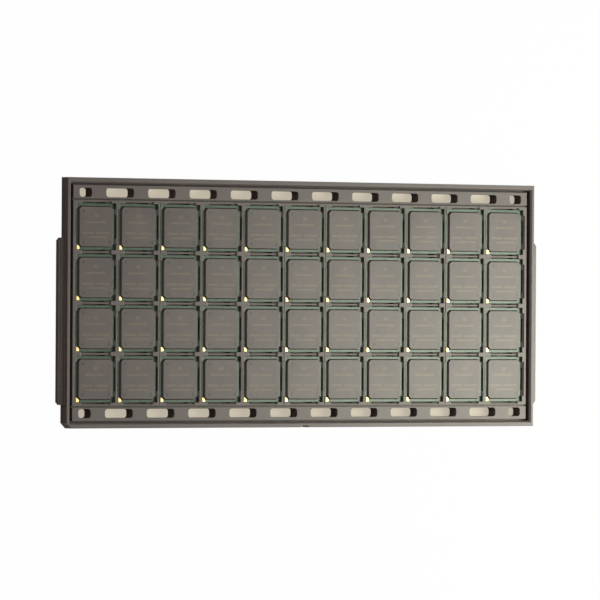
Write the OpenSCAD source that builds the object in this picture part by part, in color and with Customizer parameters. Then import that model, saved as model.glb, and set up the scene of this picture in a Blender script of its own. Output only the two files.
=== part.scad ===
// Matrix tray for integrated circuits: one moulded frame with a lattice of square pockets,
// and a ball grid array package lying in each pocket.
// Millimetres. The origin is under the middle of the tray, on the face that it rests on.
// +X runs along the columns, +Y across the rows, +Z up.

/* [Matrix] */
// Pockets along the tray
cols = 11; // [6:1:11]
// Pockets across the tray
rows = 4; // [2:1:4]
// Distance from one pocket to the next, both ways
pitch = 27.6; // [27.4:0.1:30]

/* [Frame heights] */
// Overall height of the tray
tray_h = 7.62; // [7.2:0.01:9]
// Height that one tray sinks into the next in a stack
stack_step = 1.27; // [0.8:0.01:1.6]
// Sideways play between stacked trays
stack_play = 0.25; // [0.1:0.05:0.5]

/* [Long sides, from the outside in] */
// Width of the rim along the long sides
rim_side_w = 3; // [2.4:0.1:4]
// Width of the channel between rim and rail
channel_side_w = 1; // [0.6:0.1:1.5]
// Width of the slotted rail
rail_w = 7.3; // [6.8:0.1:10]
// Width of the groove between rail and lattice
groove_w = 0.8; // [0.4:0.1:1.2]
// Depth of that groove
groove_depth = 1.7; // [0.5:0.1:2.5]
// Width of the lip that closes the lattice along the groove
lip_side_w = 0.65; // [0.5:0.05:1.5]

/* [Ends, from the outside in] */
// Width of the rim at the ends
rim_end_w = 2.3; // [1.8:0.1:3]
// Width of the channel between rim and lattice
channel_end_w = 2; // [1.2:0.1:2.5]
// Width of the lip that closes the lattice along the channel
lip_end_w = 1.4; // [0.8:0.1:3]

/* [Rim] */
// Bevel that leads the next tray into the rim
rim_bevel = 0.9; // [0.3:0.1:1.1]
// Height of the channel floor
channel_z = 2.8; // [2:0.1:4]
// Legs of the cut corner that marks the first pocket
corner_cut = 3; // [1:0.1:4]
// Length of the centring notch in the front edge
notch_l = 4.7; // [2:0.1:8]
// Depth of the centring notch
notch_depth = 0.9; // [0.4:0.1:1.2]

/* [End tabs] */
// Reach of a tab past the rim
tab_out = 3.8; // [2.5:0.1:5]
// Length of a tab along the end
tab_l = 90.5; // [60:0.5:92]
// Distance from the front edge of the tray to the tab
tab_front = 12.7; // [8:0.1:20]
// Height of the underside of a tab
tab_z = 1.9; // [1.4:0.1:2.5]
// Thickness of a tab
tab_t = 3.4; // [2:0.1:4]
// Bevel on the corners of a tab
tab_bevel = 1.5; // [0.5:0.1:2.5]
// Width of the lowered lip along the outer edge of a tab
tab_lip_w = 1.2; // [0.6:0.1:2]
// Drop of that lip
tab_lip_drop = 0.6; // [0.2:0.1:1]

/* [Rail slots] */
// Length of a long slot
slot_l = 18; // [12:0.1:20]
// Width of every slot
slot_w = 4.9; // [3:0.1:5.2]
// Radius of the slot corners
slot_r = 1.6; // [0.8:0.1:2.2]
// How much closer together the slots stand than the columns
slot_trim = 0.3; // [0:0.1:1]
// Length of the short slot at each end of a rail
end_slot_l = 8; // [5:0.1:9]
// Distance from the inner edge of the rail to the slots
slot_inset = 0.8; // [0.6:0.1:1.2]
// Wall left round the hollows under the rail
core_wall = 1.5; // [1:0.1:2]
// Thickness of the rail over those hollows
core_roof = 1.6; // [1:0.1:2.5]

/* [Pockets] */
// Play between a package and its pocket wall, each side
pocket_play = 0.15; // [0.1:0.05:0.3]
// Width of the ledge that carries the edge of a package
ledge_w = 0.65; // [0.4:0.05:0.9]
// Depth of a package top below the top of the posts
headroom = 0.42; // [0.2:0.02:0.8]
// Length of a post arm, from the middle of the crossing
post_arm = 4.25; // [3.5:0.05:5]
// Height of the lattice walls below the posts
wall_drop = 0.7; // [0.3:0.1:1.2]
// Length of a lead-in slope beside a post arm
lead_l = 3.1; // [2:0.1:4]
// Run of a lead-in slope towards the wall
lead_run = 0.8; // [0.4:0.1:1]
// Height of the foot of a lead-in slope above the package base
lead_foot = 0.7; // [0.4:0.1:0.9]
// Thickness of the thin wall between two pockets
web_t = 1.1; // [0.8:0.1:1.6]
// Height of the floor of the deep gaps beside the thin wall
gap_z = 2.2; // [1.6:0.1:3]
// Height that the lattice is relieved underneath, between its feet
foot_relief = 0.9; // [0.4:0.1:1.2]
// Width of the joint lines across the posts
joint_w = 0.4; // [0.2:0.1:0.6]
// Depth of the joint lines
joint_depth = 0.35; // [0.1:0.05:0.5]

/* [Package] */
// Side of the square substrate
sub_l = 25; // [24.4:0.1:25.4]
// Thickness of the substrate
sub_t = 0.56; // [0.4:0.02:0.8]
// Side of the mould cap at its foot
cap_l = 22.5; // [20:0.1:23.5]
// Height of the mould cap
cap_h = 1.17; // [0.8:0.01:1.3]
// Inward slope of the cap sides over that height
cap_draft = 0.5; // [0.2:0.05:0.8]
// Legs of the cut corners of the cap
cap_cut = 1.5; // [0.5:0.1:2.5]
// Distance of the moulding dimples from the middle, both ways
dimple_off = 8.4; // [6:0.1:9]
// Radius of the small moulding dimple
dimple_r = 0.8; // [0.5:0.1:1.2]
// Radius of the large moulding dimple
dimple_big_r = 1.1; // [0.6:0.1:1.5]
// Depth of the dimples
dimple_depth = 0.1; // [0.05:0.01:0.2]
// Side of the gold gate pad on the substrate corner
pad_l = 2.2; // [1.5:0.1:2.6]
// Distance of the pad from the two edges of the substrate
pad_inset = 0.2; // [0.1:0.1:0.6]
// Thickness of the gold pad
pad_t = 0.05; // [0.02:0.01:0.1]

/* [Hidden] */
// Columns after which a joint line crosses the posts
JOINTS = [2, 5, 6, 9];
// Overrun of a cutting shape past the face that it cuts
over = 0.5;
$fn = 48;

// Outline of the frame
side_w = rim_side_w + channel_side_w + rail_w + groove_w + lip_side_w;
end_w = rim_end_w + channel_end_w + lip_end_w;
grid_l = cols * pitch;
grid_w = rows * pitch;
frame_l = grid_l + 2 * end_w;
frame_w = grid_w + 2 * side_w;
// Inside of the rim, and inside of the channel
inner_l = frame_l - 2 * rim_end_w;
inner_w = frame_w - 2 * rim_side_w;
island_l = inner_l - 2 * channel_end_w;
island_w = inner_w - 2 * channel_side_w;
// Top of rails and posts, on which the next tray stands
land_z = tray_h - stack_step;
// Rails
slot_pitch = pitch - slot_trim;
slots = cols - 1;
bridge_l = slot_pitch - slot_l;
rail_inner_y = island_w / 2 - rail_w;
slot_y = rail_inner_y + slot_inset + slot_w / 2;
end_slot_x = (slots * slot_pitch + bridge_l + end_slot_l) / 2;
// Pockets
pocket_l = sub_l + 2 * pocket_play;
window_l = pocket_l - 2 * ledge_w;
seat_z = land_z - headroom - sub_t - cap_h;
open_l = pitch - 2 * post_arm;
gap_l = open_l - 2 * lead_l;
reach_l = pitch - web_t;

function package_name(r, c) = str("package_r", r, "_c", c < 10 ? "0" : "", c);
function pocket_x(c) = (c - (cols + 1) / 2) * pitch;
function pocket_y(r) = ((rows + 1) / 2 - r) * pitch;

// ---- frame ----

// A rectangle with the front left corner cut off
module marked_outline(l, w, cut) {
    polygon([
        [-l / 2 + cut, -w / 2],
        [l / 2, -w / 2],
        [l / 2, w / 2],
        [-l / 2, w / 2],
        [-l / 2, -w / 2 + cut]
    ]);
}

// The plain block of the frame, with the narrower foot that enters the tray below
module frame_block() {
    foot_l = inner_l - 2 * stack_play;
    foot_w = inner_w - 2 * stack_play;
    translate([0, 0, stack_step])
        linear_extrude(tray_h - stack_step)
            marked_outline(frame_l, frame_w, corner_cut);
    linear_extrude(stack_step)
        square([foot_l, foot_w], center = true);
}

// One end tab, reaching in +X from x = 0, centred on y = 0
module end_tab() {
    lip_x = tab_out - tab_lip_w;
    difference() {
        translate([0, 0, tab_z])
            linear_extrude(tab_t)
                polygon([
                    [-over, -tab_l / 2],
                    [tab_out - tab_bevel, -tab_l / 2],
                    [tab_out, -tab_l / 2 + tab_bevel],
                    [tab_out, tab_l / 2 - tab_bevel],
                    [tab_out - tab_bevel, tab_l / 2],
                    [-over, tab_l / 2]
                ]);
        translate([lip_x, -tab_l / 2 - over, tab_z + tab_t - tab_lip_drop])
            cube([tab_lip_w + over, tab_l + 2 * over, tab_lip_drop + over]);
    }
}

module end_tabs() {
    tab_y = -frame_w / 2 + tab_front + tab_l / 2;
    for (side = [0, 1])
        mirror([side, 0, 0])
            translate([frame_l / 2, tab_y, 0])
                end_tab();
}

// The space inside the rim, with the bevel that leads the next tray in
module rim_opening() {
    translate([0, 0, land_z])
        linear_extrude(stack_step + over)
            square([inner_l, inner_w], center = true);
    translate([0, 0, tray_h - rim_bevel])
        linear_extrude(rim_bevel, scale = [
            (inner_l + 2 * rim_bevel) / inner_l,
            (inner_w + 2 * rim_bevel) / inner_w
        ])
            square([inner_l, inner_w], center = true);
}

// The channel between the rim and what stands inside it
module rim_channel() {
    translate([0, 0, channel_z])
        linear_extrude(tray_h)
            difference() {
                square([inner_l, inner_w], center = true);
                square([island_l, island_w], center = true);
            }
}

module centring_notch() {
    translate([-notch_l / 2, -frame_w / 2 - over, -over])
        cube([notch_l, notch_depth + over, tray_h + 2 * over]);
}

// ---- rails ----

module slot_outline(l) {
    straight_l = l - 2 * slot_r;
    straight_w = slot_w - 2 * slot_r;
    square([l, straight_w], center = true);
    square([straight_l, slot_w], center = true);
    for (sx = [-1, 1], sy = [-1, 1])
        translate([sx * straight_l / 2, sy * straight_w / 2])
            circle(slot_r);
}

module through_slot(l) {
    translate([0, 0, -over])
        linear_extrude(tray_h + over)
            slot_outline(l);
}

// The hollow under a bridge between two slots
module bridge_core() {
    translate([-bridge_l / 2 + core_wall, -slot_w / 2, -over])
        cube([bridge_l - 2 * core_wall, slot_w, land_z - core_roof + over]);
}

// What is cut from one rail
module rail_cuts() {
    for (i = [0:slots - 1])
        translate([(i - (slots - 1) / 2) * slot_pitch, slot_y, 0])
            through_slot(slot_l);
    for (side = [-1, 1])
        translate([side * end_slot_x, slot_y, 0])
            through_slot(end_slot_l);
    for (i = [0:slots])
        translate([(i - slots / 2) * slot_pitch, slot_y, 0])
            bridge_core();
    translate([-island_l / 2, rail_inner_y - groove_w, land_z - groove_depth])
        cube([island_l, groove_w, groove_depth + over]);
}

// ---- lattice ----

// One lead-in slope on the +X side of a pocket, with the lowered wall top beside it
module lead_in_cut() {
    half = pocket_l / 2;
    translate([0, open_l / 2, 0])
        rotate([90, 0, 0])
            linear_extrude(open_l)
                polygon([
                    [half - over, seat_z + lead_foot],
                    [half, seat_z + lead_foot],
                    [half + lead_run, land_z - wall_drop],
                    [pitch / 2, land_z - wall_drop],
                    [pitch / 2, tray_h],
                    [half - over, tray_h]
                ]);
}

// Everything that one pocket takes out of the lattice
module pocket_cut() {
    translate([0, 0, -over])
        linear_extrude(tray_h)
            square(window_l, center = true);
    translate([0, 0, seat_z])
        linear_extrude(tray_h)
            square(pocket_l, center = true);
    translate([0, 0, gap_z])
        linear_extrude(tray_h) {
            square([reach_l, gap_l], center = true);
            square([gap_l, reach_l], center = true);
        }
    for (turn = [0:90:270])
        rotate(turn)
            lead_in_cut();
}

// The relief under the lattice, which leaves a foot below each post
module foot_cut() {
    translate([0, 0, -over])
        linear_extrude(foot_relief + over) {
            square([pitch, open_l], center = true);
            square([open_l, pitch], center = true);
        }
}

module joint_lines() {
    for (c = JOINTS)
        if (c < cols)
            translate([pocket_x(c) + pitch / 2 - joint_w / 2, -grid_w / 2, land_z - joint_depth])
                cube([joint_w, grid_w, joint_depth + over]);
}

module tray() {
    color("#4b4542")
        difference() {
            union() {
                frame_block();
                end_tabs();
            }
            rim_opening();
            rim_channel();
            centring_notch();
            for (side = [0, 1])
                mirror([0, side, 0])
                    rail_cuts();
            for (r = [1:rows], c = [1:cols])
                translate([pocket_x(c), pocket_y(r), 0]) {
                    pocket_cut();
                    foot_cut();
                }
            joint_lines();
        }
}

// ---- package ----

module substrate() {
    color("#2f5a43")
        linear_extrude(sub_t)
            square(sub_l, center = true);
}

// A square with its four corners cut
module cap_outline() {
    half = cap_l / 2;
    polygon([
        [half, half - cap_cut],
        [half - cap_cut, half],
        [-half + cap_cut, half],
        [-half, half - cap_cut],
        [-half, -half + cap_cut],
        [-half + cap_cut, -half],
        [half - cap_cut, -half],
        [half, -half + cap_cut]
    ]);
}

module dimple(x, y, r) {
    translate([x * dimple_off, y * dimple_off, sub_t + cap_h - dimple_depth])
        cylinder(h = dimple_depth + over, r = r);
}

module mould_cap() {
    color("#6d6560")
        difference() {
            translate([0, 0, sub_t])
                linear_extrude(cap_h, scale = (cap_l - 2 * cap_draft) / cap_l)
                    cap_outline();
            dimple(-1, 1, dimple_r);
            dimple(-1, -1, dimple_r);
            dimple(1, -1, dimple_big_r);
        }
}

// The gold pad at the front left corner, over which the cap was moulded
module gate_pad() {
    corner = -sub_l / 2 + pad_inset;
    color("#e0bf6a")
        translate([corner, corner, sub_t])
            cube([pad_l, pad_l, pad_t]);
}

module package() {
    substrate();
    mould_cap();
    gate_pad();
}

tray();
for (r = [1:rows], c = [1:cols])
    translate([pocket_x(c), pocket_y(r), seat_z])
            package();
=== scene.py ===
"""A thin moulded matrix tray full of ball grid array packages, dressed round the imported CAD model.

The CAD tray keeps its own mesh and takes the finish of its moulding. Each CAD package is replaced by one with
a rounded and dimpled cap, a sawn laminate edge, a gold gate pad and plain laser marks. Its solder balls are a
piece of their own.
"""

import math

import bmesh
import bpy
from mathutils import Matrix, Vector


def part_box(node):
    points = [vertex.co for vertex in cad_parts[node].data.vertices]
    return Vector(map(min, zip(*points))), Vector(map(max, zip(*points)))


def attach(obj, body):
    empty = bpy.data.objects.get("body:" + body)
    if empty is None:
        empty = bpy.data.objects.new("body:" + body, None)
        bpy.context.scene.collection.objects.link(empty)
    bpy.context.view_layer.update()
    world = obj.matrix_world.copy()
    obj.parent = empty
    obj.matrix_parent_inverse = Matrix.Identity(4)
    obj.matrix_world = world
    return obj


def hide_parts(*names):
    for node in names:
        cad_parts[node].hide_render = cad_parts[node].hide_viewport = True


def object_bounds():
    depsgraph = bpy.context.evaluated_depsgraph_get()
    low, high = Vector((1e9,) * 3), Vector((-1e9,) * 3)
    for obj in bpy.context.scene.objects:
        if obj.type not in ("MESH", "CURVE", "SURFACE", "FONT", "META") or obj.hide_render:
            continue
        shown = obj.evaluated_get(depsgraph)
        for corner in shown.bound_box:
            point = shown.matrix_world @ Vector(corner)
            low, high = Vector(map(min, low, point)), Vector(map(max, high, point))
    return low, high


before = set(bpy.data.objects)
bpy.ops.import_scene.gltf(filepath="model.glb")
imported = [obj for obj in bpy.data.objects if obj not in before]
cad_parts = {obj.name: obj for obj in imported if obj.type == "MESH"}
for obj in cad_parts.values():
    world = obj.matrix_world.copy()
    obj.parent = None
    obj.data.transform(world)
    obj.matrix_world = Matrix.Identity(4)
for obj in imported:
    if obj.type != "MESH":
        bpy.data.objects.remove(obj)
cad_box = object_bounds()

MM = 0.001
ROWS, COLS = 4, 11

# The package, in millimetres.
SUBSTRATE_L = 25.0
SUBSTRATE_T = 0.56
CAP_L = 22.5
CAP_H = 1.17
CAP_DRAFT = 0.5
CAP_CUT = 1.5
CAP_ROUND = 0.22
ROUND_STEPS = 4
CORNER_ROUND = 0.35
SUPPORT_W = 0.06
DIMPLES = [(-8.4, 8.4, 0.8), (8.4, -8.4, 1.1), (-8.4, -8.4, 0.8)]
DIMPLE_DEPTH = 0.1
DIMPLE_SLOPE = 0.08
DIMPLE_FACETS = 24
PAD_L = 2.2
PAD_INSET = 0.2
PAD_CUT = 0.55
PAD_T = 0.05

# Radius of the tray's moulded edges, in millimetres.
EDGE_R = 0.45

# The paper under the tray ends this far inside the tray's outline, in millimetres.
PAPER_INSET = (5.5, 2.0)

# The ball array, in millimetres. The profile gives each ring's radius and height, from the neck down.
BALL_PITCH = 1.27
BALL_SIDE = 19
BALL_H = 0.6
BALL_PROFILE = [(0.3, 0.0), (0.375, -0.27), (0.27, -0.5)]
BALL_FACETS = 8

# Faces that meet at less than this angle, in degrees, are shaded as one curve.
SMOOTH_BELOW = 32

# The floor: half its side and how far it lies under the tray, in metres.
FLOOR_HALF = 4.0
FLOOR_DROP = 0.0003
# How much of the floor's own light the lens sees in the open, and how much less on the paper. On the paper
# that glow is painted light, which lifts the tray's shade seen through the slots.
FLOOR_GLOW = 0.985
PAPER_LOSS = 0.4


# ---- helpers ----

def srgb(code):
    """An sRGB hex colour as linear red, green, blue and alpha."""
    parts = [int(code[i:i + 2], 16) / 255 for i in (1, 3, 5)]
    linear = [c / 12.92 if c <= 0.04045 else ((c + 0.055) / 1.055) ** 2.4 for c in parts]
    return (*linear, 1.0)


def add(tree, kind, inputs=None, stops=(), **settings):
    """Adds a shader node with its settings. Each input is a value, or an output socket to link from.

    A colour ramp also takes its stops, each a position and an sRGB hex colour.
    """
    node = tree.nodes.new("ShaderNode" + kind)
    for name, value in settings.items():
        setattr(node, name, value)
    for name, value in (inputs or {}).items():
        if isinstance(value, bpy.types.NodeSocket):
            tree.links.new(value, node.inputs[name])
        else:
            node.inputs[name].default_value = value
    for i, (position, code) in enumerate(stops):
        points = node.color_ramp.elements
        point = points[i] if i < len(points) else points.new(position)
        point.position = position
        point.color = srgb(code)
    return node


def new_material(name):
    """An empty material, with its node tree and the socket its shader goes into."""
    material = bpy.data.materials.new(name)
    material.use_nodes = True
    tree = material.node_tree
    tree.nodes.clear()
    output = add(tree, "OutputMaterial")
    return material, tree, output.inputs["Surface"]


def place_in_mm(tree, kind="NewGeometry", output="Position"):
    """Where a point lies, in millimetres. TexCoord's Object output counts it from the piece's own origin."""
    metres = add(tree, kind).outputs[output]
    return add(tree, "VectorMath", {0: metres, "Scale": 1 / MM}, operation="SCALE").outputs[0]


# ---- the finishes ----

def carbon_filled_ppe():
    """Carbon-filled polyphenylene ether, moulded in a spark-eroded tool.

    It is a dark brownish grey. The grain keeps its gloss low, and slow clouds show where the melt flowed.
    """
    material, tree, surface = new_material("carbon_filled_ppe_moulded")
    place = place_in_mm(tree)
    cloud = add(tree, "TexNoise", {"Vector": place, "Scale": 1 / 35, "Detail": 3, "Roughness": 0.55})
    # Spark-eroded grain is about 0.1 mm wide. It is drawn 0.5 mm wide, so that it shows.
    grain = add(tree, "TexNoise", {"Vector": place, "Scale": 1 / 0.5, "Detail": 3, "Roughness": 0.6})
    tone = add(tree, "Math", {0: grain.outputs["Fac"], 1: 0.3, 2: 0.35}, operation="MULTIPLY_ADD")
    tone = add(tree, "Math", {0: cloud.outputs["Fac"], 1: 0.4, 2: tone.outputs[0]}, operation="MULTIPLY_ADD")
    ramp = add(tree, "ValToRGB", {"Fac": tone.outputs[0]},
               stops=[(0.55, "#392F2D"), (0.8, "#5D4F4B")])
    base = ramp.outputs["Color"]
    # Edges leave the tool with a small radius, and handling rubs them paler in patches.
    eased = add(tree, "Bevel", {"Radius": EDGE_R * MM}, samples=4).outputs["Normal"]
    face = add(tree, "NewGeometry").outputs["Normal"]
    turn = add(tree, "VectorMath", {0: eased, 1: face}, operation="DOT_PRODUCT").outputs["Value"]
    edge = add(tree, "MapRange", {"Value": turn, "From Min": 0.995, "From Max": 0.86})
    rubbed = add(tree, "MapRange", {"Value": cloud.outputs["Fac"], "From Min": 0.35, "From Max": 0.65,
                                    "To Min": 0.3, "To Max": 0.9})
    share = add(tree, "Math", {0: edge.outputs[0], 1: rubbed.outputs[0]}, operation="MULTIPLY")
    worn = add(tree, "Mix", {"Factor": share.outputs[0], "A": base, "B": srgb("#9A9082")}, data_type="RGBA")
    rough = add(tree, "MapRange", {"Value": cloud.outputs["Fac"], "To Min": 0.36, "To Max": 0.54})
    bump = add(tree, "Bump", {
        "Height": grain.outputs["Fac"], "Strength": 0.3, "Distance": 0.08 * MM, "Normal": eased})
    shader = add(tree, "BsdfPrincipled", {
        "Base Color": worn.outputs["Result"], "Roughness": rough.outputs[0], "IOR": 1.57,
        "Normal": bump.outputs[0]})
    tree.links.new(shader.outputs[0], surface)
    return material


def box_mask(tree, place, centre, half):
    """1 inside a rectangle on the package's top, in millimetres from its middle, and 0 outside."""
    apart = add(tree, "VectorMath", {0: place, 1: (*centre, 0)}, operation="SUBTRACT").outputs[0]
    apart = add(tree, "VectorMath", {0: apart}, operation="ABSOLUTE").outputs[0]
    axes = add(tree, "SeparateXYZ", {0: apart})
    inside_x = add(tree, "Math", {0: axes.outputs["X"], 1: half[0]}, operation="LESS_THAN")
    inside_y = add(tree, "Math", {0: axes.outputs["Y"], 1: half[1]}, operation="LESS_THAN")
    both = add(tree, "Math", {0: inside_x.outputs[0], 1: inside_y.outputs[0]}, operation="MULTIPLY")
    return both.outputs[0]


def moulding_compound(name, dark, light, rough, marked):
    """Silica-filled epoxy, transfer moulded against a satin tool: grey-brown, with a fine sandy grain.

    Where it is marked, a laser has burnt plain bars of a paler tan into the skin.
    """
    material, tree, surface = new_material(name)
    place = place_in_mm(tree)
    cloud = add(tree, "TexNoise", {"Vector": place, "Scale": 1 / 14, "Detail": 2, "Roughness": 0.5})
    # The filler is about 0.05 mm across. It is drawn 0.35 mm wide, so that it shows.
    sand = add(tree, "TexNoise", {"Vector": place, "Scale": 1 / 0.35, "Detail": 3, "Roughness": 0.7})
    tone = add(tree, "Math", {0: sand.outputs["Fac"], 1: 0.5}, operation="MULTIPLY")
    tone = add(tree, "Math", {0: cloud.outputs["Fac"], 1: 0.5, 2: tone.outputs[0]}, operation="MULTIPLY_ADD")
    ramp = add(tree, "ValToRGB", {"Fac": tone.outputs[0]},
               stops=[(0.38, dark), (0.62, light)])
    base = ramp.outputs["Color"]
    if marked:
        spot = place_in_mm(tree, "TexCoord", "Object")
        total = 0.0
        for centre, half in MARKS:
            mask = box_mask(tree, spot, centre, half)
            total = add(tree, "Math", {0: total, 1: mask}, operation="MAXIMUM").outputs[0]
        burn = add(tree, "MapRange", {"Value": sand.outputs["Fac"], "From Min": 0.35, "From Max": 0.6,
                                      "To Min": 0.12, "To Max": 0.5})
        share = add(tree, "Math", {0: total, 1: burn.outputs[0]}, operation="MULTIPLY")
        blend = add(tree, "Mix", {"Factor": share.outputs[0], "A": base, "B": srgb("#8D7A60")},
                    data_type="RGBA")
        base = blend.outputs["Result"]
    bump = add(tree, "Bump", {"Height": sand.outputs["Fac"], "Strength": 0.25, "Distance": 0.05 * MM})
    shader = add(tree, "BsdfPrincipled", {
        "Base Color": base, "Roughness": rough, "IOR": 1.55, "Normal": bump.outputs[0]})
    tree.links.new(shader.outputs[0], surface)
    return material


def solder_mask():
    """Green solder mask, screen printed over copper tracks: glossy, with the tracks faintly paler."""
    material, tree, surface = new_material("green_solder_mask")
    place = place_in_mm(tree)
    mottle = add(tree, "TexNoise", {"Vector": place, "Scale": 1 / 2.5, "Detail": 2})
    tracks = add(tree, "TexWave", {"Vector": place, "Scale": 0.55, "Distortion": 0.8, "Detail": 1},
                 bands_direction="DIAGONAL")
    tone = add(tree, "Math", {0: tracks.outputs["Fac"], 1: 0.25, 2: mottle.outputs["Fac"]},
               operation="MULTIPLY_ADD")
    ramp = add(tree, "ValToRGB", {"Fac": tone.outputs[0]},
               stops=[(0.4, "#243F2E"), (0.8, "#44684E")])
    base = ramp.outputs["Color"]
    bump = add(tree, "Bump", {"Height": tracks.outputs["Fac"], "Strength": 0.2, "Distance": 0.02 * MM})
    shader = add(tree, "BsdfPrincipled", {
        "Base Color": base, "Roughness": 0.32, "IOR": 1.52, "Normal": bump.outputs[0]})
    tree.links.new(shader.outputs[0], surface)
    return material


def laminate_edge():
    """The sawn edge of a glass-epoxy laminate: a dull yellow green with fine scratches."""
    material, tree, surface = new_material("sawn_glass_epoxy_edge")
    place = place_in_mm(tree)
    fibres = add(tree, "TexNoise", {"Vector": place, "Scale": 1 / 0.3, "Detail": 2})
    ramp = add(tree, "ValToRGB", {"Fac": fibres.outputs["Fac"]},
               stops=[(0.35, "#4F6B42"), (0.65, "#7C9160")])
    base = ramp.outputs["Color"]
    bump = add(tree, "Bump", {"Height": fibres.outputs["Fac"], "Strength": 0.3, "Distance": 0.03 * MM})
    shader = add(tree, "BsdfPrincipled", {
        "Base Color": base, "Roughness": 0.65, "IOR": 1.5, "Normal": bump.outputs[0]})
    tree.links.new(shader.outputs[0], surface)
    return material


def plated_gold():
    """Gold electroplated over nickel and copper: a pale warm metal with a satin face."""
    material, tree, surface = new_material("electroplated_gold")
    place = place_in_mm(tree)
    satin = add(tree, "TexNoise", {"Vector": place, "Scale": 1 / 0.4, "Detail": 2})
    ramp = add(tree, "ValToRGB", {"Fac": satin.outputs["Fac"]},
               stops=[(0.3, "#F0CB78"), (0.7, "#FFE6A8")])
    base = ramp.outputs["Color"]
    rough = add(tree, "MapRange", {"Value": satin.outputs["Fac"], "To Min": 0.28, "To Max": 0.45})
    shader = add(tree, "BsdfPrincipled", {"Base Color": base, "Metallic": 1.0, "Roughness": rough.outputs[0]})
    tree.links.new(shader.outputs[0], surface)
    return material


def reflowed_solder():
    """Solder, reflowed to balls: a bright grey metal under a thin haze of oxide."""
    material, tree, surface = new_material("reflowed_solder")
    place = place_in_mm(tree)
    haze = add(tree, "TexNoise", {"Vector": place, "Scale": 1 / 0.5, "Detail": 1})
    ramp = add(tree, "ValToRGB", {"Fac": haze.outputs["Fac"]},
               stops=[(0.3, "#A3A3A1"), (0.7, "#C6C5C2")])
    base = ramp.outputs["Color"]
    rough = add(tree, "MapRange", {"Value": haze.outputs["Fac"], "To Min": 0.22, "To Max": 0.42})
    shader = add(tree, "BsdfPrincipled", {"Base Color": base, "Metallic": 1.0, "Roughness": rough.outputs[0]})
    tree.links.new(shader.outputs[0], surface)
    return material


# Plain laser-marked bars: (middle, half lengths).
MARKS = [((0.0, 5.9), (1.3, 0.9)),
         ((-0.3, 2.4), (6.6, 0.55)),
         ((-5.3, -3.4), (3.6, 0.6)),
         ((4.2, -3.4), (4.4, 0.6)),
         ((0.5, -5.8), (6.4, 0.55))]

MASK, EDGE, COMPOUND, DIMPLE, GOLD = range(5)
PACKAGE_FINISHES = [
    solder_mask(),
    laminate_edge(),
    moulding_compound("epoxy_moulding_compound", "#403330", "#5A4B48", 0.42, True),
    # The dimples are polished, so a little glossier. Their darker colour is painted: it stands in for the
    # dark that a polished face reflects.
    moulding_compound("polished_moulding_compound_painted_dark", "#2B2724", "#38332F", 0.36, False),
    plated_gold()]
SOLDER = reflowed_solder()


# ---- the package ----

def cut_square(half, cut, radius, steps=3):
    """The outline of a square with 45-degree cut corners, each of its eight corners rounded."""
    corners = []
    for sx, sy in ((1, -1), (1, 1), (-1, 1), (-1, -1)):
        pair = [Vector((sx * half, sy * (half - cut))), Vector((sx * (half - cut), sy * half))]
        corners += pair if sx * sy > 0 else pair[::-1]
    outline = []
    for i, corner in enumerate(corners):
        before = (corners[i - 1] - corner).normalized()
        after = (corners[(i + 1) % len(corners)] - corner).normalized()
        reach = radius * math.tan((math.pi - before.angle(after)) / 2)
        for k in range(steps + 1):
            t = k / steps
            one = corner + before * reach * (1 - t)
            two = corner + after * reach * t
            outline.append(one.lerp(two, t))
    return outline


def circle(x, y, radius, facets):
    """The points of a circle round (x, y)."""
    turns = [math.radians(360 * k / facets) for k in range(facets)]
    return [(x + radius * math.cos(turn), y + radius * math.sin(turn)) for turn in turns]


def ring(bm, outline, z):
    """A ring of points at one height."""
    return [bm.verts.new((x, y, z)) for x, y in outline]


def bridge(bm, lower, upper, finish):
    """The band of faces between two rings with the same count of points."""
    count = len(lower)
    for i in range(count):
        j = (i + 1) % count
        face = bm.faces.new([lower[i], lower[j], upper[j], upper[i]])
        face.material_index = finish


def cap(bm):
    """The moulded cap: drafted sides, a rounded top edge, and a flat top with three ejector dimples."""
    foot = SUBSTRATE_T
    top = SUBSTRATE_T + CAP_H
    half = CAP_L / 2
    slope = math.atan2(CAP_DRAFT, CAP_H)
    centre_z = top - CAP_ROUND
    start_z = centre_z + CAP_ROUND * math.sin(slope)
    centre = CAP_DRAFT * (start_z - foot) / CAP_H + CAP_ROUND * math.cos(slope)
    path = [(0.0, foot)]
    for k in range(ROUND_STEPS + 1):
        angle = slope + (math.pi / 2 - slope) * k / ROUND_STEPS
        path.append((centre - CAP_ROUND * math.cos(angle), centre_z + CAP_ROUND * math.sin(angle)))
    path.append((centre + SUPPORT_W, top))
    shrink = 2 - math.sqrt(2)
    rings = []
    for inset, z in path:
        rings.append(ring(bm, cut_square(half - inset, CAP_CUT - shrink * inset, CORNER_ROUND), z))
    for lower, upper in zip(rings, rings[1:]):
        bridge(bm, lower, upper, COMPOUND)
    bm.faces.new(rings[0][::-1]).material_index = COMPOUND
    edges = set()
    for i, vert in enumerate(rings[-1]):
        edges.add(bm.edges.get((vert, rings[-1][(i + 1) % len(rings[-1])])))
    for x, y, radius in DIMPLES:
        rim = ring(bm, circle(x, y, radius, DIMPLE_FACETS), top)
        floor = ring(bm, circle(x, y, radius - DIMPLE_SLOPE, DIMPLE_FACETS), top - DIMPLE_DEPTH)
        bridge(bm, floor, rim, DIMPLE)
        bm.faces.new(floor).material_index = DIMPLE
        for i, vert in enumerate(rim):
            edges.add(bm.edges.get((vert, rim[(i + 1) % len(rim)])))
    filled = bmesh.ops.triangle_fill(bm, edges=list(edges), use_beauty=True, normal=(0, 0, 1))
    for face in filled["geom"]:
        if isinstance(face, bmesh.types.BMFace):
            face.material_index = COMPOUND


def slab(bm, outline, low, high, side, top):
    """A closed flat slab over an outline."""
    lower = ring(bm, outline, low)
    upper = ring(bm, outline, high)
    bridge(bm, lower, upper, side)
    bm.faces.new(upper).material_index = top
    bm.faces.new(lower[::-1]).material_index = top


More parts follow.
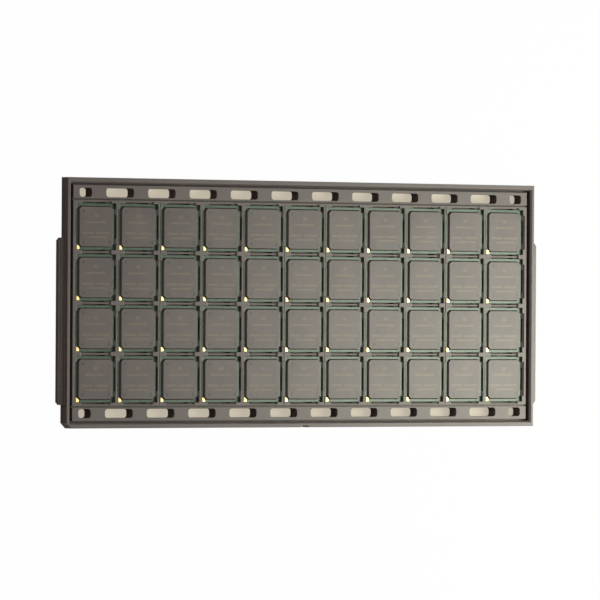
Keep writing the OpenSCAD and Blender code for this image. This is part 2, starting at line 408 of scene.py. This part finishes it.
def package_mesh():
    """One package: the laminate, the cap on it, and the gate pad at one corner."""
    bm = bmesh.new()
    half = SUBSTRATE_L / 2
    slab(bm, [(-half, -half), (half, -half), (half, half), (-half, half)], 0.0, SUBSTRATE_T, EDGE, MASK)
    cap(bm)
    low = -half + PAD_INSET
    high = low + PAD_L
    pad = [(low, low), (high, low), (high, high - PAD_CUT), (high - PAD_CUT, high), (low, high)]
    slab(bm, pad, SUBSTRATE_T, SUBSTRATE_T + PAD_T, GOLD, GOLD)
    bmesh.ops.recalc_face_normals(bm, faces=bm.faces)
    bmesh.ops.scale(bm, vec=(MM, MM, MM), verts=bm.verts)
    for face in bm.faces:
        face.smooth = True
    mesh = bpy.data.meshes.new("package")
    bm.to_mesh(mesh)
    bm.free()
    mesh.set_sharp_from_angle(angle=math.radians(SMOOTH_BELOW))
    for finish in PACKAGE_FINISHES:
        mesh.materials.append(finish)
    return mesh


def balls_mesh():
    """The solder balls that hang from one package: a full array without its four corner balls."""
    bm = bmesh.new()
    last = BALL_SIDE - 1
    for row in range(BALL_SIDE):
        for col in range(BALL_SIDE):
            if row in (0, last) and col in (0, last):
                continue
            x = (col - last / 2) * BALL_PITCH
            y = (row - last / 2) * BALL_PITCH
            rings = [ring(bm, circle(x, y, radius, BALL_FACETS), z) for radius, z in BALL_PROFILE]
            bm.faces.new(rings[0])
            for upper, lower in zip(rings, rings[1:]):
                bridge(bm, lower, upper, 0)
            tip = bm.verts.new((x, y, -BALL_H))
            for i in range(BALL_FACETS):
                bm.faces.new([tip, rings[-1][(i + 1) % BALL_FACETS], rings[-1][i]])
    bmesh.ops.recalc_face_normals(bm, faces=bm.faces)
    bmesh.ops.scale(bm, vec=(MM, MM, MM), verts=bm.verts)
    for face in bm.faces:
        face.smooth = True
    mesh = bpy.data.meshes.new("solder_balls")
    bm.to_mesh(mesh)
    bm.free()
    mesh.materials.append(SOLDER)
    return mesh


def middle_of(node):
    """The middle of a node's box in x and y, at its underside."""
    low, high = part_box(node)
    return (low[0] + high[0]) / 2, (low[1] + high[1]) / 2, low[2]


def place_packages():
    """One package and its balls over each CAD package."""
    package = package_mesh()
    balls = balls_mesh()
    for row in range(1, ROWS + 1):
        for col in range(1, COLS + 1):
            node = f"package_r{row}_c{col:02d}"
            middle = middle_of(node)
            chip = bpy.data.objects.new(f"dressed_{node}", package)
            array = bpy.data.objects.new(f"solder_balls_r{row}_c{col:02d}", balls)
            for piece in (chip, array):
                piece.location = middle
                bpy.context.collection.objects.link(piece)
                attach(piece, "root")
            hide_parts(node)


# ---- the tray ----

def finish_tray():
    """The CAD tray keeps its mesh, and takes the plastic it is moulded in."""
    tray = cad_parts["tray"].data
    tray.materials.clear()
    tray.materials.append(carbon_filled_ppe())


place_packages()
finish_tray()


# ---- floor, lamps and room ----

def floor_paint():
    """Matt white paint, which the lens sees clip to white, and cream paper in the part under the tray."""
    material, tree, surface = new_material("matt_white_floor")
    high = cad_box[1]
    edge_x = high[0] - PAPER_INSET[0] * MM
    edge_y = high[1] - PAPER_INSET[1] * MM
    place = add(tree, "NewGeometry").outputs["Position"]
    apart = add(tree, "VectorMath", {0: place}, operation="ABSOLUTE").outputs[0]
    axes = add(tree, "SeparateXYZ", {0: apart})
    under_x = add(tree, "Math", {0: axes.outputs["X"], 1: edge_x}, operation="LESS_THAN")
    under_y = add(tree, "Math", {0: axes.outputs["Y"], 1: edge_y}, operation="LESS_THAN")
    under = add(tree, "Math", {0: under_x.outputs[0], 1: under_y.outputs[0]}, operation="MULTIPLY")
    colour = add(tree, "Mix", {"Factor": under.outputs[0], "A": srgb("#F6F4F0"), "B": srgb("#EFE4D0")},
                 data_type="RGBA")
    diffuse = add(tree, "BsdfDiffuse", {"Color": colour.outputs["Result"]})
    # For the lens, the paper under the tray glows cream. This is painted light, which lifts the tray's shade
    # on it.
    shown = add(tree, "Mix", {"Factor": under.outputs[0], "A": srgb("#FFFFFF"), "B": srgb("#E9DFCB")},
                data_type="RGBA")
    white = add(tree, "Emission", {"Color": shown.outputs["Result"], "Strength": 1.0})
    path = add(tree, "LightPath")
    # Out in the open the glow is the white backdrop. On the paper it is painted light.
    backdrop_and_painted_glow = add(tree, "Math", {0: under.outputs[0], 1: -PAPER_LOSS, 2: FLOOR_GLOW},
                     operation="MULTIPLY_ADD")
    seen = add(tree, "Math", {0: path.outputs["Is Camera Ray"], 1: backdrop_and_painted_glow.outputs[0]},
               operation="MULTIPLY")
    mix = add(tree, "MixShader", {0: seen.outputs[0], 1: diffuse.outputs[0], 2: white.outputs[0]})
    tree.links.new(mix.outputs[0], surface)
    return material


def make_floor():
    """A plain floor just under the tray."""
    half = FLOOR_HALF
    mesh = bpy.data.meshes.new("floor")
    corners = [(-half, -half, 0), (half, -half, 0), (half, half, 0), (-half, half, 0)]
    mesh.from_pydata(corners, [], [(0, 1, 2, 3)])
    mesh.materials.append(floor_paint())
    floor = bpy.data.objects.new("floor", mesh)
    floor.location.z = cad_box[0][2] - FLOOR_DROP
    bpy.context.collection.objects.link(floor)


def soft_lamp(name, place, aim, size, watts, colour):
    """A rectangular soft lamp, turned to face a place."""
    data = bpy.data.lights.new(name, "AREA")
    data.shape = "RECTANGLE"
    data.size, data.size_y = size
    data.energy = watts
    data.color = srgb(colour)[:3]
    lamp = bpy.data.objects.new(name, data)
    lamp.location = place
    lamp.rotation_euler = (Vector(aim) - Vector(place)).to_track_quat("-Z", "Y").to_euler()
    bpy.context.collection.objects.link(lamp)


def light_room():
    """A low lamp at the right for the glare, two weak ones, and a pale room."""
    soft_lamp("window_right", (0.40, -0.06, 0.25), (0.15, -0.01, 0), (0.22, 0.42), 2.3, "#FBFFEC")
    soft_lamp("front_fill", (-0.95, 0.3, 0.75), (0, 0, 0), (0.7, 0.9), 1.8, "#FFEFEC")
    soft_lamp("low_sky", (1.2, 0.1, 0.3), (0, 0, 0), (0.3, 0.8), 1.4, "#C6D8FF")
    world = bpy.data.worlds.new("room")
    bpy.context.scene.world = world
    world.use_nodes = True
    tree = world.node_tree
    tree.nodes.clear()
    path = add(tree, "LightPath")
    seen = add(tree, "Math", {0: path.outputs["Is Camera Ray"], 1: path.outputs["Is Glossy Ray"]},
               operation="MAXIMUM")
    seen = add(tree, "Math", {0: seen.outputs[0], 1: path.outputs["Is Transmission Ray"]},
               operation="MAXIMUM")
    room = add(tree, "Background", {"Color": srgb("#FFFBF5"), "Strength": 0.1})
    white = add(tree, "Background", {"Color": srgb("#FFFFFF"), "Strength": 1.0})
    mix = add(tree, "MixShader", {0: seen.outputs[0], 1: room.outputs[0], 2: white.outputs[0]})
    add(tree, "OutputWorld", {"Surface": mix.outputs[0]})


def make_camera():
    """A long lens looking down from the left."""
    eye = Vector((-2.232, -0.0036, 3.178))
    look = Vector((-0.0015, 0.0024, 0.004))
    lean = 0.006
    back = (eye - look).normalized()
    across = Vector((0, 1, 0)).cross(back).normalized()
    up = back.cross(across)
    turned = across * math.cos(lean) + up * math.sin(lean)
    up = back.cross(turned)
    data = bpy.data.cameras.new("camera")
    data.sensor_width = 36
    data.lens = 420.8
    data.clip_start = 0.01
    data.clip_end = 50
    camera = bpy.data.objects.new("camera", data)
    camera.matrix_world = Matrix.Translation(eye) @ Matrix((turned, up, back)).transposed().to_4x4()
    bpy.context.collection.objects.link(camera)
    bpy.context.scene.camera = camera


make_floor()
light_room()
make_camera()
bpy.context.scene.view_settings.view_transform = "Standard"
